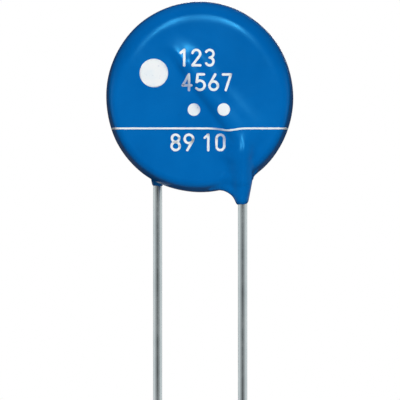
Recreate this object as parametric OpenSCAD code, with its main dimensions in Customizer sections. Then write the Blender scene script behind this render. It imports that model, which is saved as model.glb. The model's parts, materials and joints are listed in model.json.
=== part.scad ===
// Radial leaded disc varistor: a zinc oxide disc with a silver electrode on each face, a tinned
// wire soldered slantwise across each electrode, and a dipped epoxy coating over all of it.
// Millimetres, +Z up. The wire tips stand at z = 0, midway between them is the origin, and the
// marked face looks toward -Y.

/* [Ceramic disc] */
// Diameter of the ceramic disc
ceramic_d = 14; // [12:0.5:16]
// Thickness of the ceramic disc
ceramic_t = 5; // [3:0.5:6]
// Chamfer on both edges of the ceramic disc
ceramic_chamfer = 0.2; // [0.1:0.05:0.4]

/* [Electrodes] */
// Bare ceramic left around each electrode
electrode_margin = 0.6; // [0.3:0.1:1]
// Thickness of each fired silver electrode
electrode_t = 0.05; // [0.03:0.01:0.1]

/* [Leads] */
// Distance between the two wires at the board
lead_pitch = 7.5; // [6.5:0.1:8.5]
// Diameter of the wire
lead_d = 0.8; // [0.6:0.05:1]
// Bare length of the front wire, from its tip to the coating
lead_length = 25; // [10:1:35]
// Height of the wire's corner, below the disc's centre
corner_drop = 4; // [3:0.25:4.5]
// Radius of the wire's corner
corner_r = 2; // [1.8:0.1:2.5]
// Slant of the soldered arm, from upright
arm_slant = 36.5; // [30:0.5:42]
// Length of the soldered arm, from the corner to the wire's end
arm_length = 8.8; // [7:0.2:9.4]
// How far inside the coating the wire's slight waist begins
waist_inset = 0.3; // [0.2:0.05:0.5]
// Length of the waist
waist_length = 1; // [0.8:0.1:1.4]
// Depth of the waist
waist_depth = 0.02; // [0.01:0.005:0.04]

/* [Solder] */
// Solder left between the wire and the electrode
solder_film = 0.05; // [0.03:0.01:0.08]
// Width of the solder bed on the electrode
solder_w = 1.8; // [1.4:0.1:2.2]
// Solder run past the wire's end
solder_run = 0.4; // [0.2:0.1:0.6]

/* [Coating] */
// Coating around the rim of the ceramic
rim_coat = 1.3; // [1:0.1:1.6]
// Coating over the electrodes
face_coat = 0.7; // [0.5:0.05:0.9]
// Coating over the wires
lead_coat = 0.3; // [0.25:0.05:0.4]
// Rounding between the faces and the rim
edge_r = 1.4; // [1:0.1:1.6]
// Radius of the rim's own slight bulge
rim_bulge_r = 8; // [6:1:20]
// Radius over the crest of each ridge
ridge_crest_r = 1.8; // [1.4:0.1:2]
// Radius in the hollow at the foot of each ridge
ridge_foot_r = 1.4; // [1:0.1:1.6]

/* [Drips] */
// How far the front drip hangs below the rim beside it
front_drip = 2.05; // [1:0.05:3]
// How far the rear drip hangs below the rim beside it
rear_drip = 0.5; // [0.3:0.05:1.5]
// Coating left around the wire at a drip's end
drip_wall = 0.18; // [0.12:0.01:0.22]
// Radius of a drip's heel, where it leaves the rim
heel_r = 1.1; // [0.9:0.05:1.2]
// How far the front drip trails along the rim, toward the middle
web_reach = 2.1; // [1.6:0.1:2.6]
// How far that trail hangs below the rim
web_drop = 0.1; // [0.05:0.01:0.15]

/* [Printing] */
// Thickness of the printed ink
ink_t = 0.03; // [0.02:0.01:0.05]
// Height of the printed figures
figure_h = 1.58; // [1.2:0.02:1.7]
// Width of the printed strokes
stroke_w = 0.22; // [0.16:0.01:0.26]
// Distance between two figures of a row
figure_pitch = 1.16; // [1.1:0.02:1.25]
// Diameter of the printed dot
dot_d = 2.5; // [1.8:0.1:2.8]
// Diameter of the small printed dots
small_dot_d = 1.1; // [0.8:0.1:1.3]
// Width of the printed line across the face
line_w = 0.2; // [0.14:0.01:0.3]

/* [Hidden] */
$fn = 72;
// Reach of the blocks that only cut, well past every face
big = 60;

// Radii and levels, measured out from the disc's axis and from its mid-plane
lead_r = lead_d / 2;
coat_r = ceramic_d / 2 + rim_coat;
electrode_r = ceramic_d / 2 - electrode_margin;
electrode_level = ceramic_t / 2 + electrode_t;
lead_level = electrode_level + solder_film + lead_r;
flat_level = electrode_level + face_coat;
crest_level = lead_level + lead_r + lead_coat;

// Rounded edge: its centre, and where it passes into the bulge of the rim
edge_level = flat_level - edge_r;
flat_r = coat_r - rim_bulge_r + sqrt(pow(rim_bulge_r - edge_r, 2) - pow(edge_level, 2));

// Section of a ridge: the crest's arc turns through ridge_turn before the foot's arc takes over.
// The foot's arc dips a hair into the crest and under the flat face, so that it crosses them.
foot_sink = 0.01;
ridge_turn = acos(1 - (crest_level - flat_level + foot_sink) / (ridge_crest_r + ridge_foot_r));
ridge_half = (ridge_crest_r + ridge_foot_r) * sin(ridge_turn);
ridge_base = lead_level - lead_d;

// Where the coating ends along each wire, below the disc's centre
lead_x = lead_pitch / 2;
rim_at_lead = sqrt(pow(coat_r, 2) - pow(lead_x, 2));
front_run = rim_at_lead + front_drip;
rear_run = rim_at_lead + rear_drip;
disc_z = lead_length + front_run;

// Drips: rounding at the tip, depth of the heel inside the rim, the heel's radius nearer the face,
// where the web leaves the wire above the tip, and the rim beside the web's far end
tip_bead_r = lead_r + drip_wall / 2;
heel_sink = 0.85 * heel_r;
face_heel_r = 0.8 * heel_r;
web_rise = 2 * heel_r;
rim_at_web = sqrt(pow(coat_r, 2) - pow(lead_x - web_reach, 2));
bead_facets = 24;

// Ridges: the lower end is centred a little past the flat face, the upper one short of the wire's end,
// and both ends are smaller than the rest by the step
dome_past_flat = 0.3;
dome_back = 0.2;
end_step = 0.02;
ridge_run = sqrt(pow(flat_r, 2) - pow(lead_x, 2)) + dome_past_flat;

// Printing: the figures' unit of height, and half the printed line, which runs out on the rim
unit = (figure_h - stroke_w) / 4;
line_margin = 0.6;
line_half = coat_r - line_margin;

// Printing: places on the face, as x and height from the disc's centre
dot_at = [-4, 2];
row_1_at = [-1.45, 2.55];
row_2_at = [-1.1, 0.4];
small_dots_at = [[-0.5, -1.2], [2.1, -1.2]];
line_at = [-line_half, -2.95];
row_3_at = [-2.1, -4.85];
row_4_at = [0.65, -4.85];

// The wire's route on its face: straight up beside the rim, round the corner, and up the slanted arm
corner_tangent = corner_r * tan(arm_slant / 2);
function covered_length(run) = run - corner_drop - corner_tangent;

// Turns a face drawn flat (x right, y up, z out of the disc) to stand at the front or the rear
module on_front() translate([0, 0, disc_z]) rotate([90, 0, 0]) children();
module on_rear() rotate([0, 0, 180]) on_front() children();

// The corner's own frame on a face: its centre is the origin, and the route mirrors in y = 0
module on_corner()
    translate([lead_x - corner_r, -corner_drop - corner_tangent, 0])
        rotate([0, 0, arm_slant / 2]) children();

// Start of the lower straight stretch in the corner's frame, with -y down the stretch
module on_lower() rotate([0, 0, -arm_slant / 2]) translate([corner_r, 0, 0]) children();

// Carries a section round the lower half of the corner, to its middle plane
module half_corner()
    intersection() {
        rotate([0, 0, -arm_slant / 2]) rotate_extrude(angle = arm_slant)
            translate([corner_r, 0]) children();
        translate([-big, -big, -big]) cube([2 * big, big, 2 * big]);
    }

// Carries a section from the middle of the corner to the far end of the lower stretch
module half_route(length) {
    half_corner() children();
    on_lower() rotate([90, 0, 0]) linear_extrude(length) children();
}

module wire_section() translate([0, lead_level]) circle(lead_r);

// Straight wire from the corner down to its tip, with a slight waist inside the coating's end,
// left by the tool that held the wire while its corner was bent
module straight_wire(run) {
    covered = covered_length(run);
    on_lower() translate([0, 0, lead_level]) rotate([90, 0, 0]) rotate_extrude()
        polygon([[0, 0], [lead_r, 0], [lead_r, covered - waist_inset - waist_length],
                 [lead_r - waist_depth, covered - waist_inset - waist_length / 2],
                 [lead_r, covered - waist_inset],
                 [lead_r, covered + disc_z - run], [0, covered + disc_z - run]]);
}

// One wire: bare and covered stretch with half the corner, then the other half and the arm
module lower_wire(run)
    on_corner() {
        straight_wire(run);
        half_corner() wire_section();
    }

module upper_wire()
    on_corner() mirror([0, 1, 0]) half_route(arm_length - corner_tangent) wire_section();

module wire(run)
    union() {
        lower_wire(run);
        upper_wire();
    }

// Solder bed: as wide as solder_w on the electrode, rising to the sides of the wire
module solder_bed(run)
    difference() {
        on_corner() mirror([0, 1, 0]) on_lower() rotate([90, 0, 0])
            linear_extrude(arm_length + solder_run - corner_tangent)
                polygon([[-solder_w / 2, electrode_level], [solder_w / 2, electrode_level],
                         [lead_r, lead_level], [-lead_r, lead_level]]);
        wire(run);
    }

// Half section of the coated disc, grown outwards by "grow"
module disc_section(grow) {
    half = flat_level + grow;
    round_r = edge_r + grow;
    bulge_r = rim_bulge_r + grow;
    meet = edge_level * bulge_r / (bulge_r - round_r);
    translate([0, -half]) square([flat_r, 2 * half]);
    for (side = [-1, 1]) translate([flat_r, side * edge_level]) circle(round_r);
    intersection() {
        translate([coat_r - rim_bulge_r, 0]) circle(bulge_r);
        translate([0, -meet]) square([coat_r + rim_bulge_r, 2 * meet]);
    }
}

// Section of a ridge, grown outwards by "grow"
module ridge_section(grow) {
    crest_r = ridge_crest_r + grow;
    foot_r = ridge_foot_r - grow;
    shoulder = crest_r * sin(ridge_turn);
    shoulder_level = crest_level + grow - crest_r * (1 - cos(ridge_turn));
    difference() {
        union() {
            translate([-ridge_half, ridge_base])
                square([2 * ridge_half, shoulder_level - ridge_base]);
            intersection() {
                translate([0, crest_level + grow - crest_r]) circle(crest_r);
                translate([-shoulder, shoulder_level]) square([2 * shoulder, crest_r]);
            }
        }
        for (side = [-1, 1])
            translate([side * ridge_half, flat_level + grow - foot_sink + foot_r])
                circle(foot_r + foot_sink);
    }
}

// Rounded end of a ridge: its half section, a hair smaller, turned about its own middle
module ridge_end(grow)
    rotate_extrude() intersection() {
        ridge_section(grow - end_step);
        translate([0, ridge_base + end_step]) square([ridge_half, crest_level]);
    }

// Half of a ridge, from the middle of the corner to its rounded end
module half_ridge(length, grow) {
    half_route(length) ridge_section(grow);
    on_lower() translate([0, -length, 0]) ridge_end(grow);
}

// The ridge over one wire, from the end of the flat face to a little short of the wire's end
module ridge(grow)
    on_corner() union() {
        half_ridge(ridge_run - corner_drop - corner_tangent, grow);
        mirror([0, 1, 0]) half_ridge(arm_length - corner_tangent - dome_back, grow);
    }

// Collar of coating around the wire, from inside the ridge down to the drip's blunt tip
module collar(run)
    translate([lead_x, -run, lead_level]) rotate([-90, 0, 0]) rotate_extrude()
        polygon([[0, 0], [lead_r + drip_wall / 2, 0], [lead_r + drip_wall, drip_wall / 2],
                 [lead_r + drip_wall, covered_length(run)], [0, covered_length(run)]]);

// Bead: one rounded end of a fillet, at [x, height] on the face and a level out from the mid-plane
module bead(at, level, r) translate([at[0], at[1], level]) sphere(r, $fn = bead_facets);

// Root of a drip: the coating that has run together between the rim and the wire
module drip_root(run)
    hull() {
        bead([lead_x, tip_bead_r + drip_wall / 2 - run], lead_level, tip_bead_r);
        bead([lead_x, heel_sink - rim_at_lead], edge_level, heel_r);
        bead([lead_x, heel_sink - rim_at_lead], lead_level - heel_r / 2, face_heel_r);
    }

// Web: the coating that trails from the front drip along the rim, toward the middle
module drip_web(run)
    hull() {
        bead([lead_x - tip_bead_r, web_rise - run], lead_level - tip_bead_r / 2, tip_bead_r);
        bead([lead_x - web_reach, -rim_at_web + heel_r - web_drop], edge_level, heel_r);
    }

module coated_disc(grow) rotate_extrude() disc_section(grow);

module coating_outside()
    union() {
        on_front() coated_disc(0);
        on_front() {
            ridge(0);
            collar(front_run);
            drip_root(front_run);
            drip_web(front_run);
        }
        on_rear() {
            ridge(0);
            collar(rear_run);
            drip_root(rear_run);
        }
    }

module ceramic_disc()
    color("dimgray") on_front() {
        body_half = ceramic_t / 2 - ceramic_chamfer;
        rotate_extrude() polygon([
            [0, -ceramic_t / 2], [ceramic_d / 2 - ceramic_chamfer, -ceramic_t / 2],
            [ceramic_d / 2, -body_half], [ceramic_d / 2, body_half],
            [ceramic_d / 2 - ceramic_chamfer, ceramic_t / 2], [0, ceramic_t / 2]]);
    }

module electrode()
    color("gainsboro") translate([0, 0, ceramic_t / 2]) cylinder(r = electrode_r, h = electrode_t);

module front_electrode() on_front() electrode();
module rear_electrode() on_rear() electrode();
module front_solder() color("silver") on_front() solder_bed(front_run);
module rear_solder() color("silver") on_rear() solder_bed(rear_run);
module front_lead() color("lightgray") on_front() wire(front_run);
module rear_lead() color("lightgray") on_rear() wire(rear_run);

// Each wire is taken out in two parts that meet at the middle of its corner
module epoxy_coating()
    color("royalblue") difference() {
        coating_outside();
        ceramic_disc();
        front_electrode();
        rear_electrode();
        front_solder();
        rear_solder();
        on_front() lower_wire(front_run);
        on_front() upper_wire();
        on_rear() lower_wire(rear_run);
        on_rear() upper_wire();
    }

// Strokes of a figure, on a cell that is 4 units high and about 2 wide with its foot at y = 0.
// A bar is [x, y, x, y], an arc is [x, y, radius, from, to] in degrees.
function strokes(figure) =
    figure == 0 ? [[0, 3, 1, 0, 180], [0, 1, 1, 180, 360], [-1, 1, -1, 3], [1, 1, 1, 3]] :
    figure == 1 ? [[0.3, 0, 0.3, 4], [-0.6, 3.2, 0.3, 4]] :
    figure == 2 ? [[0, 3, 1, -35, 170], [0.82, 2.43, -1, 0], [-1, 0, 1, 0]] :
    figure == 3 ? [[0, 3, 1, -90, 150], [0, 1, 1, -150, 90]] :
    figure == 4 ? [[0.5, 0, 0.5, 4], [0.5, 4, -1.1, 1.2], [-1.1, 1.2, 1.1, 1.2]] :
    figure == 5 ? [[-0.7, 4, 0.9, 4], [-0.7, 4, -0.9, 2], [-0.1, 1.2, 1.2, -140, 135]] :
    figure == 6 ? [[0, 1.1, 1.1, 0, 360], [-1.05, 1.4, 0.4, 4]] :
    figure == 7 ? [[-1, 4, 1, 4], [1, 4, -0.3, 0]] :
    figure == 8 ? [[0, 3.05, 0.95, 0, 360], [0, 1.05, 1.05, 0, 360]] :
    [[0, 2.9, 1.1, 0, 360], [1.05, 2.6, -0.4, 0]];

module bar(s) {
    reach = [s[2] - s[0], s[3] - s[1]] * unit;
    translate([s[0], s[1]] * unit) rotate(atan2(reach[1], reach[0]))
        translate([-stroke_w / 2, -stroke_w / 2]) square([norm(reach) + stroke_w, stroke_w]);
}

// A sector wide enough to hold the arc keeps the part of the ring between its two angles
module arc(s) {
    far = 2 * s[2] * unit + stroke_w;
    steps = ceil((s[4] - s[3]) / 60);
    translate([s[0], s[1]] * unit) intersection() {
        difference() {
            circle(s[2] * unit + stroke_w / 2);
            circle(s[2] * unit - stroke_w / 2);
        }
        if (s[4] - s[3] < 360)
            polygon([[0, 0], for (i = [0:steps])
                let (a = s[3] + (s[4] - s[3]) * i / steps) far * [cos(a), sin(a)]]);
        else
            circle(far);
    }
}

// A row of plain figures, its first one centred on "at"
module figures(at, row)
    for (i = [0:len(row) - 1]) translate([at[0] + i * figure_pitch, at[1]])
        for (s = strokes(row[i])) if (len(s) == 4) bar(s); else arc(s);

// The print: a dot, the counting figures in rows, two small dots, and a line across the face
module print_layout() {
    translate(dot_at) circle(d = dot_d);
    figures(row_1_at, [1, 2, 3]);
    figures(row_2_at, [4, 5, 6, 7]);
    for (at = small_dots_at) translate(at) circle(d = small_dot_d);
    figures(row_3_at, [8, 9]);
    figures(row_4_at, [1, 0]);
    translate(line_at) square([2 * line_half, line_w]);
}

// The faces that the ink lies on, grown outwards by "grow"
module marked_face(grow) {
    coated_disc(grow);
    ridge(grow);
}

module marking()
    color("white") on_front() difference() {
        intersection() {
            translate([0, 0, edge_level]) linear_extrude(big) print_layout();
            marked_face(ink_t);
        }
        marked_face(0);
    }

ceramic_disc();
front_electrode();
rear_electrode();
front_solder();
rear_solder();
front_lead();
rear_lead();
epoxy_coating();
marking();
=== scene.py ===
# %% [markdown]
# # A radial leaded disc varistor
#
# The real part is a pill of sintered zinc oxide with a silver film on each face. A tinned wire is
# soldered slantwise across each film, and the whole is dipped in blue epoxy, which climbs over the
# wires as soft ridges and hangs in drips where they leave it. The frame gives the exact solids. This
# lesson dresses them: a smooth skin of epoxy, drawn wires, printed ink and the hidden metal.

# %% Load the frame and measure it
import json
import bpy
import numpy as np
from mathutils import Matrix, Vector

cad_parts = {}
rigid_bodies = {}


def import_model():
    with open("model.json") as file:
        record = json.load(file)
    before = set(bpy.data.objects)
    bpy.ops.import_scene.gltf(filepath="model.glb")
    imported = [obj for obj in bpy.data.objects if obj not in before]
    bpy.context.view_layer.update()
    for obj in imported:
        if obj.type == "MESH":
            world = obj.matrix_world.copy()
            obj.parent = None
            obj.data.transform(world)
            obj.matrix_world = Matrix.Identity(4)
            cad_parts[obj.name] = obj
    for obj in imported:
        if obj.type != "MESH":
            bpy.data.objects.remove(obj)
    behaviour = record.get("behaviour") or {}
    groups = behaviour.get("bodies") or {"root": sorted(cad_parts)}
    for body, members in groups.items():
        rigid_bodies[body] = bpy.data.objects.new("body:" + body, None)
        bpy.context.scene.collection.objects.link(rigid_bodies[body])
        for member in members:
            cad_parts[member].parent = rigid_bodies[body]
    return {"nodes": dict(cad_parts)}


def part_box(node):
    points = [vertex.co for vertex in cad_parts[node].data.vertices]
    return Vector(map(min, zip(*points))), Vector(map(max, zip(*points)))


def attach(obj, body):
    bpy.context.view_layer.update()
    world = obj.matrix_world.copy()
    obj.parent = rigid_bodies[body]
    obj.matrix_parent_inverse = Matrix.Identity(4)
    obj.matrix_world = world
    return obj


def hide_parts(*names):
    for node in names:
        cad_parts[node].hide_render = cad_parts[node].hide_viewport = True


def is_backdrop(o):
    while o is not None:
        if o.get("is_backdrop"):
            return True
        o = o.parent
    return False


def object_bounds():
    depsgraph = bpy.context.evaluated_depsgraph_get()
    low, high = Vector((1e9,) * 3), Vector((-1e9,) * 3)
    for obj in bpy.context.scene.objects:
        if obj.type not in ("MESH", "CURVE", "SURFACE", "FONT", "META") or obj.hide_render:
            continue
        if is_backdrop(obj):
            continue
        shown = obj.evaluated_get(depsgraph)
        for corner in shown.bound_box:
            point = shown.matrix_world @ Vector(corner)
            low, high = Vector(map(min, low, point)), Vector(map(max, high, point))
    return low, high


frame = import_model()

MM = 0.001
WIRE_R = 0.4
cad_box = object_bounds()
low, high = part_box("ceramic_disc")
DISC_Z = (low.z + high.z) / 2 / MM
low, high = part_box("front_lead")
LEAD_X, LEVEL = high.x / MM - WIRE_R, -(low.y + high.y) / 2 / MM
print("disc centre %.3f mm up, wires at x %.3f mm and level %.3f mm" % (DISC_Z, LEAD_X, LEVEL))

# %% [markdown]
# ## Where the wire runs
#
# A wire comes straight up past the rim, turns through a short bend and crosses the face on a slant,
# so that it is soldered over its longest possible length. The route could be drawn as a curve, but
# the shape of the epoxy needs the distance to it, and for two straight lines and an arc that is a
# short formula. Each face has its own coordinates, in millimetres from the disc's centre: u to the
# right, w up, and v out of the face. The rear face is the front one turned half round, so one set
# of formulas serves both.

# %% The wire's route on its face
SLANT = np.radians(36.5)  # lean of the arm from upright
BEND_R = 2.0
ARM = 8.8  # from the arm's end to the corner where its line meets the upright one
CORNER_W = -4.0  # height of that corner
BEND_U = LEAD_X - BEND_R
BEND_W = CORNER_W - BEND_R * np.tan(SLANT / 2)
ARM_U = BEND_U + BEND_R * np.cos(SLANT)
ARM_W = BEND_W + BEND_R * np.sin(SLANT)
ARM_RUN = ARM - BEND_R * np.tan(SLANT / 2)
DIR_U, DIR_W = -np.sin(SLANT), np.cos(SLANT)


def along_arm(u, w):
    """How far up the slanted arm a point is, from the end of the bend."""
    return (u - ARM_U) * DIR_U + (w - ARM_W) * DIR_W


def route_distance(u, w, foot, more):
    """Distance in the plane of the face to the route: the least of the distances to the upright
    stretch above the height "foot", to the bend's arc, and to the slanted arm made "more" longer."""
    upright = np.hypot(u - LEAD_X, w - np.clip(w, foot, BEND_W))
    turn = np.clip(np.arctan2(w - BEND_W, u - BEND_U), 0, SLANT)
    bend = np.hypot(u - BEND_U - BEND_R * np.cos(turn), w - BEND_W - BEND_R * np.sin(turn))
    along = np.clip(along_arm(u, w), 0, ARM_RUN + more)
    arm = np.hypot(u - ARM_U - along * DIR_U, w - ARM_W - along * DIR_W)
    return np.minimum(np.minimum(upright, bend), arm)


def beside_route(u, w):
    """How far to the right of the route a point is: measured across the arm, or across the upright
    stretch for points below the bend."""
    arm = (u - ARM_U) * DIR_W - (w - ARM_W) * DIR_U
    return np.where(w < BEND_W, u - LEAD_X, np.maximum(arm, u - LEAD_X))


print("the arm ends at u %.2f, w %.2f mm" % (ARM_U + ARM_RUN * DIR_U, ARM_W + ARM_RUN * DIR_W))

# %% [markdown]
# ## The shape of a dipped coating
#
# Epoxy that has been dipped and cured has no sharp inner corners, because it wets every hollow before
# it sets. Solids joined by a boolean would keep those corners, and a bevel along them would come out
# uneven. A smooth union of distances fills them all at once: each form says how far away it is, and
# where two of them come near each other the smaller distance is taken with the corner filled in.

# %% Ways to join distances
def step(x, a, b):
    """A soft step from 0 at a to 1 at b: t^2 (3 - 2 t), with t the share of the way."""
    t = np.clip((x - a) / (b - a), 0, 1)
    return t * t * (3 - 2 * t)


def side(x, soft):
    """0 where x is well below nought and 1 where it is well above: (1 + tanh(x / soft)) / 2."""
    return 0.5 + 0.5 * np.tanh(x / soft)


def smooth_min(a, b, k):
    """min(a, b) - h^2 k / 4 with h = max(k - |a - b|, 0) / k: a fillet about k wide."""
    h = np.clip(k - np.abs(a - b), 0, None) / k
    return np.minimum(a, b) - h * h * k / 4


def rounded(a, b, r):
    """Distance to a corner of radius r, from the distances a and b to its two faces."""
    a, b = a + r, b + r
    return np.hypot(np.maximum(a, 0), np.maximum(b, 0)) + np.minimum(np.maximum(a, b), 0) - r


print("a fillet 0.5 mm wide fills a corner %.3f mm deep" % -smooth_min(0.0, 0.0, 0.5))

# %% The coated disc
HALF_X, HALF_Z, ROUND_R = 8.25, 8.4, 8.3  # half width, half height, and the radius that stands for both
SAG, SAG_DEPTH = 0.08, 4  # the lower corners' sag, and how far down it is complete
FLAT, BULGE_R = 3.12, 10.0  # level of the flat face, and radius of the rim's bulge
EDGE_FROM, EDGE_TO = -3.0, 4.5  # heights between which the edge opens out
NEAR_NOUGHT = 0.01  # keeps the corners' share finite at the disc's centre
LOW_EDGE_R, TOP_EDGE_R = 0.45, 0.82
SHOULDER_R, SHOULDER_TURN, SHOULDER_FILLET = 6.62, np.radians(12), 0.07


def body_distance(u, w, v):
    """The coated disc: a slightly tall ellipse that sags a little at its lower corners, by the share
    4 u^2 w^2 / (u^2 + w^2)^2. Each face is flat as far as a shoulder, where it leans back, more so
    towards the top, because the epoxy ran down and filled the lower edge out. A quarter round leads
    over into the rim, which bulges by v^2 / (2 BULGE_R)."""
    up = step(w, EDGE_FROM, EDGE_TO)
    corner = 4 * u * u * w * w / (u * u + w * w + NEAR_NOUGHT) ** 2
    r = np.sqrt((u / HALF_X) ** 2 + (w / HALF_Z) ** 2) * ROUND_R - SAG * corner * step(-w, 0, SAG_DEPTH)
    across = r + v * v / (2 * BULGE_R) - ROUND_R
    face = np.abs(v) - FLAT
    turn = SHOULDER_TURN * up
    lean = (r - SHOULDER_R) * np.sin(turn) + face * np.cos(turn)
    face = -smooth_min(-face, -lean, SHOULDER_FILLET)
    return rounded(across, face, LOW_EDGE_R + (TOP_EDGE_R - LOW_EDGE_R) * up)


print("body: %.2f by %.2f mm, %.2f mm over its flat faces" % (2 * HALF_X, 2 * HALF_Z, 2 * FLAT))

# %% [markdown]
# ## The epoxy over a wire
#
# Over the wire the epoxy stands up as a ridge, steep where it was pulled thin and gentle where it
# ran. Where the wire leaves, it hangs as a drip with a blunt tip. A swept tube would be as wide on
# both sides all along. A distance can be stretched instead, by a factor that changes from place to
# place, so one bar along the route gets every slope that the ridge has.

# %% Sleeve, collar and fillet
FRONT_TIP, REAR_TIP = -9.46, -7.92  # heights of the two drips' tips
BEND_TOP, BEND_FOOT = -3.0, -5.1  # heights between which the arm's form goes over to the upright one's
BAR_R, BAR_GAIN = 0.46, 0.27  # the bar's radius on the arm, and what it gains below the bend
BAR_FOOT, BAR_PAST = 2.0, 2.0  # where it starts above the tip, and how far past the wire it goes on
ARM_SQUEEZE, LOW_SQUEEZE = 0.82, 0.06  # distances across the bar: their factor, and its gain below
BEND_EASE, BEND_SPAN = 0.24, (-6.4, -5.2)  # how much less at the bend, and the heights it comes in at
RIGHT_LOW, RIGHT_ARM, RIGHT_FADE = 0.3, 0.44, 0.024  # changes on the right: below, on the arm, per mm
RAMP, RAMP_EARLY, RAMP_ROUND, RAMP_RUN = 0.36, 0.45, 0.3, 3  # the slope past the arm's end
COLLAR_R, COLLAR_FLARE, FLARE_FROM, FLARE_RUN = 0.47, 0.2, 0.1, 2.0  # radius, gain per mm, and where
COLLAR_OUT, COLLAR_TOP, COLLAR_ROUND, COLLAR_FILLET = 0.6, -5.5, 0.28, 0.15
RIGHT_SOFT = 0.4  # width over which the left side passes into the right one
WIDE_FILLET, TIGHT_FILLET = 0.75, 0.35
FLANK_SPAN, FLANK_SOFT = (-5.0, -3.4), 0.3  # heights where the steep flank begins, and its soft edge
FLANK_PAST = (0.4, 1.8)  # it ends this far past the wire
STEM_DEPTH, STEM_SIDE, STEM_SHARE = (4.8, 5.8), (0.2, 0.8), 0.8  # the same right of the upright stretch


def sleeve_distance(u, w, v, tip):
    """The epoxy round one wire. A bar runs along the route: hypot(squeeze times the distance to the
    route, v - level) less its radius. A squeeze under 1 makes it wider than high, most of all to the
    right of the arm. Past the arm's end its level sinks along a ramp with a rounded start. A collar
    round the wire widens upwards from its blunt tip, and is COLLAR_OUT thick on the outer side."""
    low = step(w, BEND_TOP, BEND_FOOT)
    along = along_arm(u, w)
    gentle = RIGHT_ARM - RIGHT_FADE * np.clip(along, 0, ARM_RUN)
    squeeze = ARM_SQUEEZE + LOW_SQUEEZE * low - BEND_EASE * low * step(w, *BEND_SPAN)
    squeeze = squeeze + side(beside_route(u, w), RIGHT_SOFT) * (RIGHT_LOW * low - gentle * (1 - low))
    past = np.clip(along - ARM_RUN + RAMP_EARLY, 0, RAMP_RUN)
    level = LEVEL - RAMP * (np.hypot(past, RAMP_ROUND) - RAMP_ROUND)
    across = route_distance(u, w, tip + BAR_FOOT, BAR_PAST) * squeeze
    bar = np.hypot(across, v - level) - BAR_R - BAR_GAIN * low
    collar_r = COLLAR_R + COLLAR_FLARE * np.clip(w - tip - FLARE_FROM, 0, FLARE_RUN)
    outward = (v - LEVEL) * np.where(v > LEVEL, collar_r / COLLAR_OUT, 1)
    collar = np.hypot(u - LEAD_X, outward) - collar_r
    collar = rounded(collar, np.maximum(tip - w, w - COLLAR_TOP), COLLAR_ROUND)
    return smooth_min(bar, collar, COLLAR_FILLET)


def sleeve_fillet(u, w):
    """Width of the fillet beside the sleeve: tight on the arm's steep lower left flank and to the
    right of the upright stretch, and wide elsewhere, where the epoxy ran before it set."""
    steep = step(w, *FLANK_SPAN) * side(-(beside_route(u, w) + FLANK_SOFT), FLANK_SOFT)
    steep = steep * (1 - step(along_arm(u, w), ARM_RUN + FLANK_PAST[0], ARM_RUN + FLANK_PAST[1]))
    steep = steep + STEM_SHARE * step(-w, *STEM_DEPTH) * step(u - LEAD_X, *STEM_SIDE)
    return WIDE_FILLET - (WIDE_FILLET - TIGHT_FILLET) * steep


print("drips end %.2f and %.2f mm below the disc's centre" % (-FRONT_TIP, -REAR_TIP))

# %% [markdown]
# ## The webs, and the whole coating
#
# Between the front drip and the rim the wet epoxy drew out a web on either side, as soap does between
# two fingers. A web could be cut from a sheet by hand. Here it is a plate with a round hollow taken
# from it, so its thin edge keeps the smooth curve that a wet film takes. All the forms are then
# joined, and slow waves are added, because a dipped face is never quite flat.

# %% Distance to the coating
# A web's box is (left, right, foot, top), and its hollow is (centre u, centre w, radius).
LEFT_WEB, LEFT_HOLLOW = (0.9, LEAD_X, FRONT_TIP + 0.1, -6.8), (1.4, -10.3, 2.12)
RIGHT_WEB, RIGHT_HOLLOW = (3.9, 5.05, -7.35, -6.3), (5.5, -7.35, 0.8)
LEFT_LEVEL, LEFT_HALF, RIGHT_LEVEL, RIGHT_HALF = 1.4, 0.7, 1.7, 0.8
DRIP_SIDE, TOWARDS_DRIP = (0.6, 2.6), 0.95  # the left web comes forward as it nears the drip
DEEP, DEEP_LEVEL, DEEP_THINNER = (7.6, 9.3), 1.55, 0.28  # and lies in it, thinner, at its foot
WEB_ROUND, LEFT_FILLET, RIGHT_FILLET = 0.4, 0.5, 0.3
WAVE = 0.02


def web_distance(u, w, v, box, hollow, level, half):
    """A web between the front drip and the rim: a plate "half" thick either side of its level, inside
    its box and outside its hollow."""
    left, right, foot, top = box
    ends = np.maximum(np.maximum(left - u, u - right), np.maximum(w - top, foot - w))
    cut = hollow[2] - np.hypot(u - hollow[0], w - hollow[1])
    return rounded(np.maximum(cut, ends), np.abs(v - level) - half, WEB_ROUND)


def coating_distance(p):
    """Signed distance, about, from points p (x, y, z in mm from the disc's centre) to the coating,
    with slow waves, WAVE sin(0.9 u + 0.4) sin(0.8 w - 0.6) cos(0.7 v + 0.3), left by the dip."""
    u, v, w = p[..., 0], -p[..., 1], p[..., 2]
    d = smooth_min(body_distance(u, w, v), sleeve_distance(u, w, v, FRONT_TIP), sleeve_fillet(u, w))
    d = smooth_min(d, sleeve_distance(-u, w, -v, REAR_TIP), sleeve_fillet(-u, w))
    deep = step(-w, *DEEP)
    level = LEFT_LEVEL + TOWARDS_DRIP * step(u, *DRIP_SIDE) * (1 - deep) + DEEP_LEVEL * deep
    left = web_distance(u, w, v, LEFT_WEB, LEFT_HOLLOW, level, LEFT_HALF - DEEP_THINNER * deep)
    right = web_distance(u, w, v, RIGHT_WEB, RIGHT_HOLLOW, RIGHT_LEVEL, RIGHT_HALF)
    d = smooth_min(smooth_min(d, left, LEFT_FILLET), right, RIGHT_FILLET)
    return d + WAVE * np.sin(0.9 * u + 0.4) * np.sin(0.8 * w - 0.6) * np.cos(0.7 * v + 0.3)


print("wires lie %.2f mm out, the flat of the face %.2f mm" % (LEVEL, FLAT))

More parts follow.
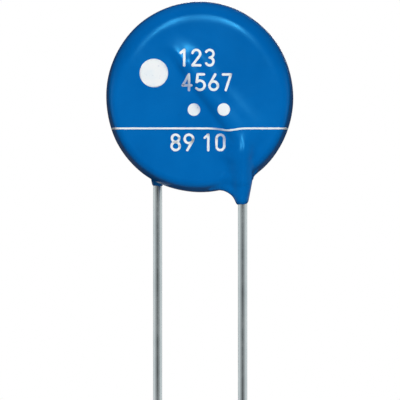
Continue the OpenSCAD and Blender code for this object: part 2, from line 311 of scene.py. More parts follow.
# %% [markdown]
# ## From the distance to a surface
#
# A net is thrown over the shape. Space is cut into small cubes, and every cube that the skin passes
# through gets one point. Wherever the skin crosses an edge between four such cubes, their points make
# a quad, so the net is closed by its very making. The points then slide down the slope of the
# distance until they lie on the skin, and even themselves out along it. Metaballs could do something
# alike, but they take no formula, and their net can't be slid onto the exact shape.

# %% Slope of the distance, and points slid onto the skin
CELL = 0.125
FLATTEST = 0.2  # |g|^2 counts as this much at least, where two slopes cancel out


def gradient(p, h=0.004):
    """Slope of the distance by differences along the four corners of a tetrahedron of size h."""
    corners = np.array([[1, -1, -1], [-1, -1, 1], [-1, 1, -1], [1, 1, 1]], float)
    return sum(c * coating_distance(p + h * c)[..., None] for c in corners) / (4 * h)


def onto_coating(p, rounds):
    """Slides points down the slope, p - d g / |g|^2, until they lie on the coating."""
    for _ in range(rounds):
        g = gradient(p)
        p = p - (coating_distance(p) / np.maximum((g * g).sum(-1), FLATTEST))[..., None] * g
    return p


def evened(p, quads, rounds):
    """Moves each point halfway toward the mean of its neighbours, but only along the surface."""
    a = quads.ravel()
    b = np.roll(quads, -1, 1).ravel()
    count = np.bincount(a, minlength=len(p)) + np.bincount(b, minlength=len(p))
    for _ in range(rounds):
        total = [np.bincount(a, p[b, i], len(p)) + np.bincount(b, p[a, i], len(p)) for i in range(3)]
        move = 0.5 * (np.stack(total, -1) / count[:, None] - p)
        g = gradient(p)
        g /= np.linalg.norm(g, axis=-1, keepdims=True)
        p = onto_coating(p + move - (move * g).sum(-1, keepdims=True) * g, 1)
    return p


print("one cube of the net is %.3f mm wide" % CELL)

# %% The net, and a mesh from points
def thrown_net(low, high):
    """Points and quads of the net in the box from low to high. A cube has a point if its eight
    corners are not all on one side. Along each axis, an edge whose ends differ gives one quad."""
    sides = [np.arange(a, b, CELL) for a, b in zip(low, high)]
    inside = coating_distance(np.stack(np.meshgrid(*sides, indexing="ij"), -1)) < 0
    nx, ny, nz = (len(s) - 1 for s in sides)
    full = sum(inside[i:i + nx, j:j + ny, k:k + nz].astype(int)
               for i in (0, 1) for j in (0, 1) for k in (0, 1))
    cubes = np.argwhere((full > 0) & (full < 8))
    number = np.full(full.shape, -1)
    number[tuple(cubes.T)] = np.arange(len(cubes))
    points = np.array([s[0] for s in sides]) + (cubes + 0.5) * CELL
    quads = []
    for axis in range(3):
        b, c = (axis + 1) % 3, (axis + 2) % 3
        at = np.argwhere(inside != np.roll(inside, -1, axis))
        at = at[at[:, axis] < len(sides[axis]) - 1]
        ring = []
        for db, dc in ((1, 1), (0, 1), (0, 0), (1, 0)):
            cube = at.copy()
            cube[:, b] -= db
            cube[:, c] -= dc
            ring.append(number[tuple(cube.T)])
        ring = np.stack(ring, -1)
        leaves = inside[tuple(at.T)]
        quads.append(np.where(leaves[:, None], ring, ring[:, ::-1]))
    return points, np.concatenate(quads)


def new_piece(name, points, faces):
    """A smooth-shaded mesh from points in mm from the frame's origin. If the solid's signed volume
    comes out negative, its faces are turned so that they look outward."""
    mesh = bpy.data.meshes.new(name)
    corners = [points[[f[k] for f in faces]] for k in range(3)]
    if np.einsum("ij,ij->", corners[0], np.cross(corners[1], corners[2])) < 0:
        faces = [f[::-1] for f in faces]
    mesh.from_pydata((points * MM).tolist(), [], faces)
    mesh.polygons.foreach_set("use_smooth", np.ones(len(faces), bool))
    mesh.update()
    piece = bpy.data.objects.new(name, mesh)
    bpy.context.scene.collection.objects.link(piece)
    return piece


NET_LOW, NET_HIGH = (-8.8, -4.2, -10.0), (8.8, 4.2, 8.9)
net, quads = thrown_net(NET_LOW, NET_HIGH)
print("net: %d points, %d quads" % (len(net), len(quads)))

# %% [markdown]
# ## The epoxy skin
#
# One cube is an eighth of a millimetre, which is fine enough for the drips' blunt tips. Smaller cubes
# would add faces but no shape, because every point lies on the exact skin.

# %% Make the skin
skin = evened(onto_coating(net, 3), quads, 8)
skin = onto_coating(skin, 2)
coating = new_piece("epoxy_skin", skin + [0, 0, DISC_Z], quads.tolist())
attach(coating, "root")
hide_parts("epoxy_coating")
print("skin: %d faces, furthest point off the coating %.4f mm" % (
    len(coating.data.polygons), np.abs(coating_distance(skin)).max()))

# %% [markdown]
# ## The wires
#
# Copper wire is drawn through a die and tinned, so it is round within a hair, with faint lines along
# it and slow swells where the tin set. The cutter that parts it from its reel leaves the tip a little
# pinched. A curve with a round bevel would be quicker to draw, but it can't be pinched. The tube
# below is a profile carried along the route, ring by ring.

# %% Rings along the route
RINGS, AROUND = 230, 56
TIP_ROWS, NEXT_ROW, END_ROWS = [0, 0.05, 0.15, 0.3, 0.5], 0.8, (0.15, 0.05)  # close rows at both ends
SWELL = 0.004
TIP_R, TIP_RUN = 0.9, 0.3  # share of the radius at the cut tip, and how soon it is whole
END_R, END_RUN = 0.85, 0.1  # the same at the soldered end
PINCH, SPREAD, PINCH_RUN = 0.16, 0.06, 0.25  # the tip is flatter and wider by these shares


def wire_points():
    """Rings (RINGS, AROUND, 3) in the face's own (u, w, v): centre + r (cos a n + sin a v), with n
    across the route. The first ring is at the tip and the last at the soldered end. The radius r
    swells by sin(1.7 s) sin(0.61 s + 1) over the length s, and the pinch dies away by
    exp(-s / PINCH_RUN)."""
    straight = DISC_Z + BEND_W
    total = straight + BEND_R * SLANT + ARM_RUN
    rest = np.linspace(NEXT_ROW, total - END_ROWS[0], RINGS - len(TIP_ROWS) - 2)
    s = np.concatenate([TIP_ROWS, rest, [total - END_ROWS[1], total]])
    turn = np.clip((s - straight) / BEND_R, 0, SLANT)
    arm = np.clip(s - straight - BEND_R * SLANT, 0, None)
    centre_u = BEND_U + BEND_R * np.cos(turn) + arm * DIR_U
    centre_w = np.minimum(s, straight) - DISC_Z + BEND_R * np.sin(turn) + arm * DIR_W
    a = np.linspace(0, 2 * np.pi, AROUND, endpoint=False)
    r = WIRE_R * (1 + SWELL * np.sin(1.7 * s) * np.sin(0.61 * s + 1))
    r = r * np.where(s < TIP_RUN, TIP_R + (1 - TIP_R) * np.sqrt(np.clip(s / TIP_RUN, 0, 1)), 1)
    r = r * np.where(s > total - END_RUN, END_R, 1)
    fade = np.exp(-s / PINCH_RUN)[:, None]
    across = r[:, None] * np.cos(a) * (1 + SPREAD * fade)
    outward = r[:, None] * np.sin(a) * (1 - PINCH * fade * np.sin(a) ** 2)
    u = centre_u[:, None] + across * np.cos(turn)[:, None]
    w = centre_w[:, None] + across * np.sin(turn)[:, None]
    return np.stack([u, w, LEVEL + outward], -1)


face = wire_points()
print("wire: %d rings of %d points" % face.shape[:2])

# %% Make the wires
def ring_quads(rows, around):
    """Corner numbers of the quads between rings of points numbered row by row."""
    i, j = np.meshgrid(np.arange(rows - 1), np.arange(around), indexing="ij")
    k = (j + 1) % around
    return np.stack([i * around + j, i * around + k, (i + 1) * around + k, (i + 1) * around + j], -1)


def closed_rings(name, rings):
    """A closed skin through rings (rows, around, 3), with a fan to the mean of each end ring."""
    rows, around = rings.shape[:2]
    points = np.concatenate([rings.reshape(-1, 3), [rings[0].mean(0), rings[-1].mean(0)]])
    a, b = rows * around, rows * around + 1
    near = [(j, (j + 1) % around) for j in range(around)]
    last = (rows - 1) * around
    caps = [[a, q, p] for p, q in near] + [[b, last + p, last + q] for p, q in near]
    return new_piece(name, points, ring_quads(rows, around).reshape(-1, 4).tolist() + caps)


for name, node, way in (("front_wire", "front_lead", 1), ("rear_wire", "rear_lead", -1)):
    rings = np.stack([way * face[..., 0], -way * face[..., 2], face[..., 1] + DISC_Z], -1)
    wire = closed_rings(name, rings)
    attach(wire, "root")
    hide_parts(node)
    print("%s: %d faces" % (name, len(wire.data.polygons)))

# %% [markdown]
# ## The print
#
# The marking is pad-printed: a soft pad presses a thin film of ink onto the cured epoxy and wraps
# it over the ridge. It presses less on the flank that falls away to the left, and the ink thins
# there. A picture laid over the face would be simpler, but ink has an edge and a thickness that catch
# the light. So each stroke is a ribbon along its own line, laid onto the skin and made solid. The
# marking is three plain dots, a line, and the counting figures from 1 to 10.

# %% Films on the skin
INK = 0.015
OUTSIDE, STRIDE, STRIDES = 4.4, 0.8, 60


def face_level(u, w):
    """How far out of the marked face the skin lies at (u, w), found by walking in from OUTSIDE with
    strides of STRIDE times the distance left."""
    v = np.full(np.shape(u), OUTSIDE)
    for _ in range(STRIDES):
        v = v - STRIDE * coating_distance(np.stack([u, -v, w], -1))
    return v


def slab(u, w):
    """Points and quads of a closed film over the grid (u, w): its top stands INK proud of the skin
    along the skin's own slope, and its bottom lies INK under it."""
    rows, cols = u.shape
    on_skin = np.stack([u, -face_level(u, w), w], -1)
    out = gradient(on_skin)
    out *= INK / np.linalg.norm(out, axis=-1, keepdims=True)
    top = (on_skin + out).reshape(-1, 3) + [0, 0, DISC_Z]
    bottom = (on_skin - out).reshape(-1, 3) + [0, 0, DISC_Z]
    n = rows * cols
    k = np.arange(n).reshape(rows, cols)
    quads = np.stack([k[:-1, :-1], k[1:, :-1], k[1:, 1:], k[:-1, 1:]], -1).reshape(-1, 4)
    edge = np.concatenate([k[:, 0], k[-1, 1:], k[-2::-1, -1], k[0, -2:0:-1]])
    walls = np.stack([edge, np.roll(edge, -1), np.roll(edge, -1) + n, edge + n], -1)
    return np.concatenate([top, bottom]), np.concatenate([quads, quads[:, ::-1] + n, walls[:, ::-1]])


print("the face lies %.2f mm out at the disc's centre, and ink %.3f mm above it" % (
    face_level(np.zeros(1), np.zeros(1))[0], INK))

# %% Ribbons and dots
SPACING, WAVER = 0.12, 0.05
END_ROUND, NEARLY = 6, 0.999  # rows in a round end, and how far it closes


def ribbon(path, width, cols=7, spacing=SPACING):
    """A stroke with round ends along path (points, 2): offsets across it are width / 2 times a share
    from -1 to 1, narrowed near both ends by sqrt(1 - x^2). Its edges waver by sin(9 t + 7 x), with x
    where it starts. Its rows lie "spacing" apart, or at the path's own points if that is None."""
    gap = np.hypot(*np.diff(path, axis=0).T)
    s = np.concatenate([[0], np.cumsum(gap)])
    r = width / 2
    rows = s if spacing is None else np.linspace(0, s[-1], max(3, int(s[-1] / spacing)))
    x = np.sin(np.linspace(-np.pi / 2, 0, END_ROUND + 1))[:-1]
    t = np.concatenate([x * r, rows, s[-1] - x[::-1] * r])
    over = np.clip(np.maximum(-t, t - s[-1]) / r, 0, NEARLY)
    ahead = np.gradient(path, s, axis=0)
    ahead /= np.linalg.norm(ahead, axis=1, keepdims=True)
    tc = np.clip(t, 0, s[-1])
    d = np.stack([np.interp(tc, s, ahead[:, i]) for i in (0, 1)], -1)
    c = np.stack([np.interp(tc, s, path[:, i]) for i in (0, 1)], -1) + d * (t - tc)[:, None]
    half = r * np.sqrt(1 - over ** 2) * (1 + WAVER * np.sin(9 * t + path[0, 0] * 7))
    q = np.linspace(-1, 1, cols)[None, :] * half[:, None]
    return c[:, :1] - d[:, 1:] * q, c[:, 1:] + d[:, :1] * q


def disc_grid(at, r, n=17):
    """A filled dot as a square grid pressed round: (x, y) goes to (x sqrt(1 - y^2 / 2),
    y sqrt(1 - x^2 / 2))."""
    x, y = np.meshgrid(np.linspace(-1, 1, n), np.linspace(-1, 1, n), indexing="ij")
    return at[0] + r * x * np.sqrt(1 - y * y / 2), at[1] + r * y * np.sqrt(1 - x * x / 2)


print("ribbons have a row every %.2f mm" % SPACING)

# %% [markdown]
# ## The figures
#
# A font would do, but its outlines are filled shapes with no middle line to lay along the skin. Here
# a figure is a few bars and arcs on a cell four units high, with its foot at nought, as an
# engraver's stencil has them.

# %% Strokes of the figures
FIGURE_H, STROKE, PITCH = 1.58, 0.22, 1.16  # height, width of a line, and step to the next figure
UNIT = (FIGURE_H - STROKE) / 4
ARC_STEP = 12
FIGURES = {
    0: [(0, 3, 1, 0, 180), (0, 1, 1, 180, 360), (-1, 1, -1, 3), (1, 1, 1, 3)],
    1: [(0.3, 0, 0.3, 4), (-0.6, 3.2, 0.3, 4)],
    2: [(0, 3, 1, -35, 170), (0.82, 2.43, -1, 0), (-1, 0, 1, 0)],
    3: [(0, 3, 1, -90, 150), (0, 1, 1, -150, 90)],
    4: [(0.5, 0, 0.5, 4), (0.5, 4, -1.1, 1.2), (-1.1, 1.2, 1.1, 1.2)],
    5: [(-0.7, 4, 0.9, 4), (-0.7, 4, -0.9, 2), (-0.1, 1.2, 1.2, -140, 135)],
    6: [(0, 1.1, 1.1, 0, 360), (-1.05, 1.4, 0.4, 4)],
    7: [(-1, 4, 1, 4), (1, 4, -0.3, 0)],
    8: [(0, 3.05, 0.95, 0, 360), (0, 1.05, 1.05, 0, 360)],
    9: [(0, 2.9, 1.1, 0, 360), (1.05, 2.6, -0.4, 0)],
}


def stroke_path(stroke):
    """A bar (x, y, x, y) as two points, or an arc (x, y, radius, from, to) as points ARC_STEP
    degrees apart."""
    if len(stroke) == 4:
        return np.array([stroke[:2], stroke[2:]], float)
    x, y, r, a, b = stroke
    turn = np.radians(np.linspace(a, b, int((b - a) / ARC_STEP) + 1))
    return np.stack([x + r * np.cos(turn), y + r * np.sin(turn)], -1)


print("figures: %d strokes in all" % sum(len(strokes) for strokes in FIGURES.values()))

# %% Lay out the marking and make it
# Each dot has a centre and a radius, and each row the foot of its first figure and its figures.
DOTS = [((-4, 2), 1.25), ((-0.5, -1.2), 0.55), ((2.1, -1.2), 0.55)]
ROWS = [
    ((-1.45, 2.55), (1, 2, 3)),
    ((-1.1, 0.4), (4, 5, 6, 7)),
    ((-2.1, -4.85), (8, 9)),
    ((0.65, -4.85), (1, 0)),
]
LINE_W, LINE_HALF, LINE_WIDTH, LINE_COLS = -2.84, 7.66, 0.17, 4
LINE_POINTS, LINE_TURN = 300, 1.45  # the line's points crowd towards its ends as a sine does
DIP, DIP_U, DIP_HALF = 0.17, 2.5, 0.85  # the line sags where the pad stretched over the ridge
THIN_BESIDE, THIN_HALF = -1.0, 0.45  # the ink is thinnest this far beside the ridge

parts = [disc_grid(at, r) for at, r in DOTS]
for at, row in ROWS:
    for i, figure in enumerate(row):
        for stroke in FIGURES[figure]:
            path = stroke_path(stroke) * UNIT + [at[0] + i * PITCH, at[1] + STROKE / 2]
            parts.append(ribbon(path, STROKE))
line_u = LINE_HALF * np.sin(np.linspace(-LINE_TURN, LINE_TURN, LINE_POINTS)) / np.sin(LINE_TURN)
line_w = LINE_W - DIP * np.exp(-(((line_u - DIP_U) / DIP_HALF) ** 2))
parts.append(ribbon(np.stack([line_u, line_w], -1), LINE_WIDTH, LINE_COLS, None))

slabs = [slab(*part) for part in parts]
starts = np.cumsum([0] + [len(points) for points, _ in slabs])
points = np.concatenate([points for points, _ in slabs])
quads = np.concatenate([quads + n for (_, quads), n in zip(slabs, starts)])
ink = new_piece("printed_marks", points, quads.tolist())
beside = beside_route(points[:, 0], points[:, 2] - DISC_Z)
thin = np.exp(-(((beside - THIN_BESIDE) / THIN_HALF) ** 2))
ink.data.attributes.new("thin", "FLOAT", "POINT").data.foreach_set("value", thin.astype(np.float32))
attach(ink, "root")
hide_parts("marking")
print("print: %d films, %d faces" % (len(slabs), len(ink.data.polygons)))

# %% [markdown]
# ## Finishes
#
# Each finish is a small network of nodes. They could be joined by hand in the editor, but a few
# helpers make a network readable as a list of what the surface does. The textures are read in the
# object's own coordinates, in metres, so a noise of scale 1000 has grains about a millimetre across.

# %% A short way to write nodes
class Nodes:
    """One-line helpers for adding nodes to a tree."""

    def __init__(self, tree):
        self.tree = tree

    def into(self, socket, value):
        """Links an output to a socket, or writes a plain value there."""
        if isinstance(value, bpy.types.NodeSocket):
            self.tree.links.new(value, socket)
        else:
            socket.default_value = value

    def node(self, kind, settings=(), **links):
        """Adds a node, sets its settings, and sets or links its sockets. A socket goes by its name,
        with _ for a space, or by i and its number."""
        n = self.tree.nodes.new("ShaderNode" + kind)
        for key, value in dict(settings).items():
            setattr(n, key, value)
        for socket, value in links.items():
            key = int(socket[1:]) if socket[0] == "i" and socket[1:].isdigit() else socket.replace("_", " ")
            self.into(n.inputs[key], value)
        return n

    def worked(self, operation, *values):
        """A value worked out from up to three others."""
        return self.node("Math", {"operation": operation},
                         **{"i%d" % k: value for k, value in enumerate(values)}).outputs[0]

    def ranged(self, value, a, b, low, high, kind="LINEAR"):
        """value carried from the range a..b onto low..high, and held there."""
        return self.node("MapRange", {"interpolation_type": kind}, Value=value, From_Min=a, From_Max=b,
                         To_Min=low, To_Max=high).outputs[0]

    def ramp(self, value, *stops):
        """A colour for value, from (position, colour) stops. A new ramp has two stops to begin with."""
        n = self.node("ValToRGB", Fac=value)
        for k, (position, colour) in enumerate(stops):
            e = n.color_ramp.elements[k] if k < 2 else n.color_ramp.elements.new(position)
            e.position, e.color = position, (*colour, 1)
        return n.outputs["Color"]

    def mixed(self, share, a, b):
        """Colour a going over to colour b by share."""
        return self.node("Mix", {"data_type": "RGBA"}, i0=share, i6=a, i7=b).outputs[2]

    def blended(self, share, a, b):
        """Shader a going over to shader b by share."""
        return self.node("MixShader", i0=share, i1=a, i2=b).outputs[0]


def rgb(r, g, b):
    """Linear colour from the 0 to 255 values that a picture shows."""
    c = np.array([r, g, b]) / 255
    return tuple(np.where(c < 0.04045, c / 12.92, ((c + 0.055) / 1.055) ** 2.4))


def grey(level):
    """A grey of the given linear level."""
    return level, level, level


print("a picture's middle grey, 128, is %.3f in linear light" % rgb(128, 128, 128)[0])

# %% A finish
class Finish(Nodes):
    """A new material with a Principled shader, and one-line helpers for what feeds it."""

    def __init__(self, name, **sockets):
        self.material = bpy.data.materials.new(name)
        self.material.use_nodes = True
        super().__init__(self.material.node_tree)
        self.shader = self.tree.nodes["Principled BSDF"]
        self.place = self.tree.nodes.new("ShaderNodeTexCoord").outputs["Object"]
        for socket, value in sockets.items():
            self.shader.inputs[socket.replace("_", " ")].default_value = value

    def feed(self, socket, value):
        """Gives the shader's socket a value or an output."""
        self.into(self.shader.inputs[socket], value)

    def noise(self, scale, detail=3, rough=0.5, at=None):
        """Fractal noise from 0 to 1, with the given number of grains in a metre."""
        return self.node("TexNoise", Vector=at or self.place, Scale=scale, Detail=detail,
                         Roughness=rough).outputs["Fac"]

    def bumped(self, *heights):
        """Bumps one after another, each (height, strength, distance in metres)."""
        normal = None
        for height, strength, distance in heights:
            links = {"Height": height, "Strength": strength, "Distance": distance}
            if normal is not None:
                links["Normal"] = normal
            normal = self.node("Bump", **links).outputs["Normal"]
        self.feed("Normal", normal)


print("finishes: Principled shaders fed by named helpers")

# %% [markdown]
# ## Blue epoxy
#
# The coating is a filled epoxy powder or dip: an even, deep blue with faint slow clouding where it
# ran, a fine orange-peel, and tiny pits from bubbles. It is glossy, but softly so, and what it
# mirrors comes back tinted blue by the resin. The pits are shallow and far apart, so they are left
# to the shading and not cut into the skin.

# %% The epoxy's finish
epoxy = Finish("blue_epoxy", Roughness=0.2, Specular_IOR_Level=0.35, Specular_Tint=(0.08, 0.6, 1.0, 1))
clouds = epoxy.noise(180, 4, 0.55)
grain = epoxy.noise(5200, 2, 0.6)
blue = epoxy.ramp(clouds, (0.3, rgb(0, 99, 177)), (0.5, rgb(0, 104, 185)), (0.72, rgb(2, 110, 192)))
blue = epoxy.mixed(epoxy.ranged(grain, 0.62, 0.8, 0, 0.25), blue, (*rgb(0, 84, 156), 1))
epoxy.feed("Base Color", blue)
epoxy.feed("Roughness", epoxy.ranged(epoxy.noise(700), 0.3, 0.7, 0.17, 0.25))
peel = epoxy.noise(1400, 2, 0.4)
pits = epoxy.node("TexVoronoi", {"feature": "F1"}, Vector=epoxy.place, Scale=1100).outputs["Distance"]
epoxy.bumped((peel, 0.07, 0.00006), (epoxy.ranged(pits, 0.04, 0.13, 0, 1), 0.1, 0.00002))
coating.data.materials.append(epoxy.material)
print("epoxy: clouding, grain, orange-peel and pits")

# %% [markdown]
# ## Tinned wire
#
# Tin is a soft grey mirror. The die's lines run along the wire, so the noise is drawn out forty times
# along Z, and the tin is duller in patches where it has been handled. The lines are far finer than
# the wire's faces, so they are bumps in the finish.

# %% The wires' finish
tin = Finish("tinned_wire", Metallic=1.0, Roughness=0.3)
drawn = tin.node("Mapping", Vector=tin.place, Scale=(1, 1, 0.025)).outputs["Vector"]
lines = tin.noise(9000, 3, 0.6, drawn)
patches = tin.noise(420, 4, 0.6)
metal = tin.ramp(patches, (0.3, (0.6, 0.68, 0.7)), (0.55, (0.68, 0.76, 0.78)), (0.75, (0.74, 0.81, 0.82)))
metal = tin.mixed(tin.ranged(lines, 0.55, 0.75, 0, 0.2), metal, (0.5, 0.57, 0.6, 1))
tin.feed("Base Color", metal)
tin.feed("Roughness", tin.ranged(patches, 0.3, 0.7, 0.14, 0.26))
tin.bumped((lines, 0.15, 0.00001), (patches, 0.1, 0.00004))
for name in ("front_wire", "rear_wire"):
    bpy.data.objects[name].data.materials.append(tin.material)
print("wires: drawing lines and dull patches")

# %% [markdown]
# ## Ink
#
# Pad-printed white is thin. It is broken by pinholes, and where the pad pressed less it lets the blue
# through. Each point of the print carries a value "thin" for that, so that the wear follows the
# ridge and not a pattern in space.

# %% The ink's finish
white = Finish("white_ink", Roughness=0.55)
speckle = white.noise(4200, 4, 0.7)
broad = white.noise(900)
thin_here = white.node("Attribute", {"attribute_name": "thin"}).outputs["Fac"]
pinholes = white.ranged(speckle, 0.6, 0.8, 0, 0.5)
worn = white.worked("MULTIPLY_ADD", thin_here, 0.62, pinholes)
paint = white.ramp(broad, (0.3, rgb(238, 248, 254)), (0.6, rgb(249, 253, 255)))
white.feed("Base Color", white.mixed(worn, paint, (*rgb(20, 96, 168), 1)))
white.feed("Roughness", white.ranged(speckle, 0.3, 0.7, 0.45, 0.65))
white.bumped((speckle, 0.2, 0.00001))
ink.data.materials.append(white.material)
print("ink: pinholes and thin flank")

# %% [markdown]
# ## What the coating hides
#
# Cut the part open and there is a dark, granular ceramic, a matt silver film printed through a mesh
# on each face, and solder that froze with a faintly crystalline skin. Their solids are the exact ones
# of the frame, which need no new shape. They are finished as carefully as the outside, because the
# part may be shown in section.

# %% Ceramic
oxide = Finish("zinc_oxide", Roughness=0.75)
grains = oxide.node("TexVoronoi", Vector=oxide.place, Scale=9000).outputs["Color"]
tone = oxide.node("SeparateColor", Color=grains).outputs[0]
dark, middle, pale = (0.028, 0.031, 0.029), (0.05, 0.054, 0.05), (0.085, 0.088, 0.08)
oxide.feed("Base Color", oxide.ramp(tone, (0.1, dark), (0.6, middle), (0.95, pale)))
oxide.feed("Roughness", oxide.ranged(tone, 0, 1, 0.55, 0.85))
oxide.bumped((oxide.noise(3500, 5, 0.65), 0.35, 0.00004))
print("ceramic: grains a tenth of a millimetre wide")

# %% Silver film
silver = Finish("fired_silver", Metallic=0.85, Roughness=0.5)
weave = [silver.node("TexWave", {"bands_direction": d}, Vector=silver.place, Scale=1400,
                     Distortion=0.6).outputs["Fac"] for d in "XZ"]
mesh_mark = silver.worked("MULTIPLY", *weave)
tarnish = silver.noise(600, 4, 0.6)
silver.feed("Base Color", silver.ramp(tarnish, (0.3, (0.62, 0.6, 0.55)), (0.7, (0.8, 0.79, 0.75))))
silver.feed("Roughness", silver.ranged(mesh_mark, 0, 1, 0.42, 0.62))
silver.bumped((mesh_mark, 0.3, 0.00001), (silver.noise(6000), 0.2, 0.00001))
print("silver: the printing mesh's weave and a little tarnish")

# %% Solder
solder = Finish("solder", Metallic=1.0, Roughness=0.38)
cells = solder.node("TexVoronoi", {"feature": "SMOOTH_F1"}, Vector=solder.place,
                    Scale=2600).outputs["Distance"]
dull, plain, bright = (0.5, 0.51, 0.52), (0.66, 0.67, 0.68), (0.74, 0.75, 0.76)
solder.feed("Base Color", solder.ramp(cells, (0.1, dull), (0.5, plain), (0.8, bright)))
solder.feed("Roughness", solder.ranged(cells, 0.1, 0.7, 0.28, 0.48))
solder.bumped((cells, 0.4, 0.00005))

for node, finish in (("ceramic_disc", oxide), ("front_electrode", silver), ("rear_electrode", silver),
                     ("front_solder", solder), ("rear_solder", solder)):
    mesh = frame["nodes"][node].data
    mesh.materials.clear()
    mesh.materials.append(finish.material)
print("hidden pieces: ceramic, silver and solder")

# %% [markdown]
# ## The studio
#
# The camera looks straight at the marked face from 300 mm away through a long lens, with the disc in
# the upper half of the picture. A broad soft light near the camera gives the blue its even tone. Two
# compact lamps above it, left and right, draw the thin arc along the upper edge and the glints on the
# ridge. A low light lifts the bottom edge a little, and two more reach the back and the top. The floor
# fades out into white. One broad lamp alone would be simpler, but its reflection would wash the whole
# face out and hide the ridge.

# %% Camera
SENSOR, FAR = 36, 300
PICTURE_MM = 400 / 11.333  # what the picture's width takes in at the disc
ACROSS, DOWN = 0.03, 9.09  # how far the picture's middle lies to the right of and below the disc's
cam = bpy.data.cameras.new("camera")
cam.sensor_width, cam.lens = SENSOR, SENSOR * FAR / PICTURE_MM
cam.clip_start, cam.clip_end = 0.01, 10
camera = bpy.data.objects.new("camera", cam)
camera.location = (ACROSS * MM, -FAR * MM, (DISC_Z - DOWN) * MM)
camera.rotation_euler = (np.pi / 2, 0, 0)
bpy.context.scene.collection.objects.link(camera)
bpy.context.scene.camera = camera
print("camera: %.0f mm lens, %.1f mm across the picture" % (cam.lens, PICTURE_MM))

# %% Lights
AIM = np.array([0, 0, DISC_Z * MM])


def softbox(name, place, size, power, glossy=True):
    """A rectangular light at place (metres), turned to face AIM."""
    lamp = bpy.data.lights.new(name, "AREA")
    lamp.shape, lamp.size, lamp.size_y, lamp.energy = "RECTANGLE", size[0], size[1], power
    o = bpy.data.objects.new(name, lamp)
    o.location = place
    back = np.array(place) - AIM
    back /= np.linalg.norm(back)
    o.rotation_euler = (np.arccos(back[2]), 0, np.arctan2(back[1], back[0]) + np.pi / 2)
    o.visible_glossy, o.visible_camera = glossy, False
    bpy.context.scene.collection.objects.link(o)


softbox("front_light", (0.03, -0.49, 0.15), (0.2, 0.2), 0.36, glossy=False)
softbox("low_light", (0.07, -0.2, -0.16), (0.15, 0.15), 0.12, glossy=False)
softbox("left_lamp", (-0.048, -0.302, 0.156), (0.03, 0.07), 0.28)
softbox("right_lamp", (0.046, -0.302, 0.156), (0.03, 0.07), 0.25)
softbox("top_strip", (0, -0.305, 0.157), (0.11, 0.05), 0.05)
softbox("back_light", (0.1, 0.5, 0.2), (0.25, 0.25), 1.0)
softbox("roof_light", (0, 0.02, 0.5), (0.3, 0.3), 0.38, glossy=False)
print("lights: %d soft boxes" % len(bpy.data.lights))

# %% [markdown]
# ## Dark flags
#
# A photographer sets black card close round a glossy thing, so that its rim mirrors something dark.
# Here it is an arch round the disc, closed below, that is seen only in reflections. The wires under
# it still mirror the white room. Darker paint on the rim would look right from one side only.

# %% An arch round the disc
ARCH_R, ARCH_FROM, ARCH_TO = 0.013, np.radians(-35), np.radians(215)
ARCH_FRONT, ARCH_BACK = -0.002, 0.03


def studio_mesh(name, points, faces):
    """A plain mesh of the studio's, from points in metres."""
    mesh = bpy.data.meshes.new(name)
    mesh.from_pydata(points, [], faces)
    o = bpy.data.objects.new(name, mesh)
    bpy.context.scene.collection.objects.link(o)
    return o


turn = np.linspace(ARCH_FROM, ARCH_TO, 40)
arch = np.stack([ARCH_R * np.cos(turn), 0 * turn, DISC_Z * MM + ARCH_R * np.sin(turn)], -1)
n = len(arch)
flags = studio_mesh("flags", np.concatenate([arch + [0, y, 0] for y in (ARCH_FRONT, ARCH_BACK)]).tolist(),
                    [(k, (k + 1) % n, n + (k + 1) % n, n + k) for k in range(n)])
flags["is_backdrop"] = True
flags.visible_camera = flags.visible_diffuse = flags.visible_shadow = flags.visible_transmission = False
felt = Finish("flag_felt", Roughness=1.0, Specular_IOR_Level=0.0)
felt.feed("Base Color", felt.ramp(felt.noise(800), (0.3, grey(0.1)), (0.7, grey(0.14))))
flags.data.materials.append(felt.material)
print("flags: an arch %.0f mm wide and %.0f mm deep" % (2 * ARCH_R / MM, (ARCH_BACK - ARCH_FRONT) / MM))

# %% [markdown]
# ## The room and the floor
#
# What surrounds a glossy thing is half of its look. The camera sees plain white. The wires and the
# epoxy mirror a room of their own, brightest behind and dim before them, with dark above and a pale
# floor below. A picture of a real room could serve, but a few ramps are lighter and can be tuned. All
# else gets a weak, even light.

# %% Surroundings
world = bpy.data.worlds.new("studio")
bpy.context.scene.world = world
world.use_nodes = True
world.node_tree.nodes.clear()
sky = Nodes(world.node_tree)
# Brightness of the room's walls from before the disc (0) to behind it (1).
WALLS = ((0, 0.1), (0.05, 0.3), (0.2, 0.52), (0.4, 0.7), (0.7, 0.9), (0.86, 0.8), (0.95, 0.06))
ways = sky.node("SeparateXYZ", Vector=sky.node("TexCoord").outputs["Generated"]).outputs
walls = sky.ramp(sky.ranged(ways["Y"], -1, 1, 0, 1), *((at, grey(level)) for at, level in WALLS))
# The walls are bright in a band about the horizon.
tilt = sky.worked("ABSOLUTE", ways["Z"])
band = sky.ranged(tilt, 0.15, 0.45, 1, 0.06, "SMOOTHSTEP")
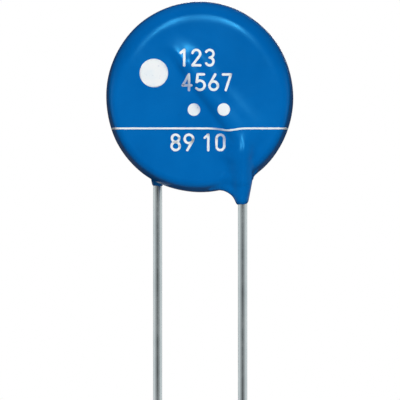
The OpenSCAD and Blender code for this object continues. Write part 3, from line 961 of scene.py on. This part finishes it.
# The room's own floor comes in downwards, and is brighter towards the front.
ahead = sky.ranged(ways["Y"], -0.2, 0.6, 0.38, 0.1)
below = sky.ranged(ways["Z"], -0.3, -0.75, 0, ahead, "SMOOTHSTEP")
room = sky.worked("MAXIMUM", sky.worked("MULTIPLY", walls, band), below)
rays = sky.node("LightPath").outputs
sight = sky.worked("MAXIMUM", rays["Is Camera Ray"], rays["Is Transmission Ray"])
ambient, shown, mirrored = (sky.node("Background", Color=(1, 1, 1, 1), Strength=strength).outputs[0]
                            for strength in (0.15, 1, room))
seen = sky.blended(sight, sky.blended(rays["Is Glossy Ray"], ambient, mirrored), shown)
sky.node("OutputWorld", Surface=seen)
print("room: %d shades from front to back" % len(WALLS))

# %% Floor
HALF_FLOOR, FADE_FROM, FADE_TO = 0.16, 0.05, 0.12
floor = studio_mesh("floor", [(x * HALF_FLOOR, y * HALF_FLOOR, 0)
                              for x, y in ((-1, -1), (1, -1), (1, 1), (-1, 1))], [(0, 1, 2, 3)])
floor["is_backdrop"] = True
paper = Finish("floor_paper", Roughness=0.9, Emission_Color=(1, 1, 1, 1), Emission_Strength=0.2)
paper.feed("Base Color", paper.ramp(paper.noise(500, 4, 0.6), (0.3, grey(0.86)), (0.7, grey(0.9))))
reach = paper.node("VectorMath", {"operation": "LENGTH"}, i0=paper.place).outputs["Value"]
clear = paper.node("BsdfTransparent").outputs[0]
surface = paper.blended(paper.ranged(reach, FADE_FROM, FADE_TO, 0, 1), paper.shader.outputs[0], clear)
paper.into(paper.tree.nodes["Material Output"].inputs["Surface"], surface)
floor.data.materials.append(paper.material)
floor.visible_glossy = floor.visible_diffuse = floor.visible_shadow = False
bpy.context.scene.view_settings.view_transform = "Standard"
print("floor: white paper that fades out from %.0f to %.0f mm" % (FADE_FROM / MM, FADE_TO / MM))

# %% [markdown]
# ## The size
#
# The dressed part must keep to the solids' box, within a tenth of a millimetre or so. Both boxes are
# printed side by side.

# %% Both boxes side by side
new_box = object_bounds()
for axis in range(3):
    solids, dressed = ((box[1][axis] - box[0][axis]) / MM for box in (cad_box, new_box))
    print("%s: solids %.2f mm, dressed %.2f mm" % ("XYZ"[axis], solids, dressed))
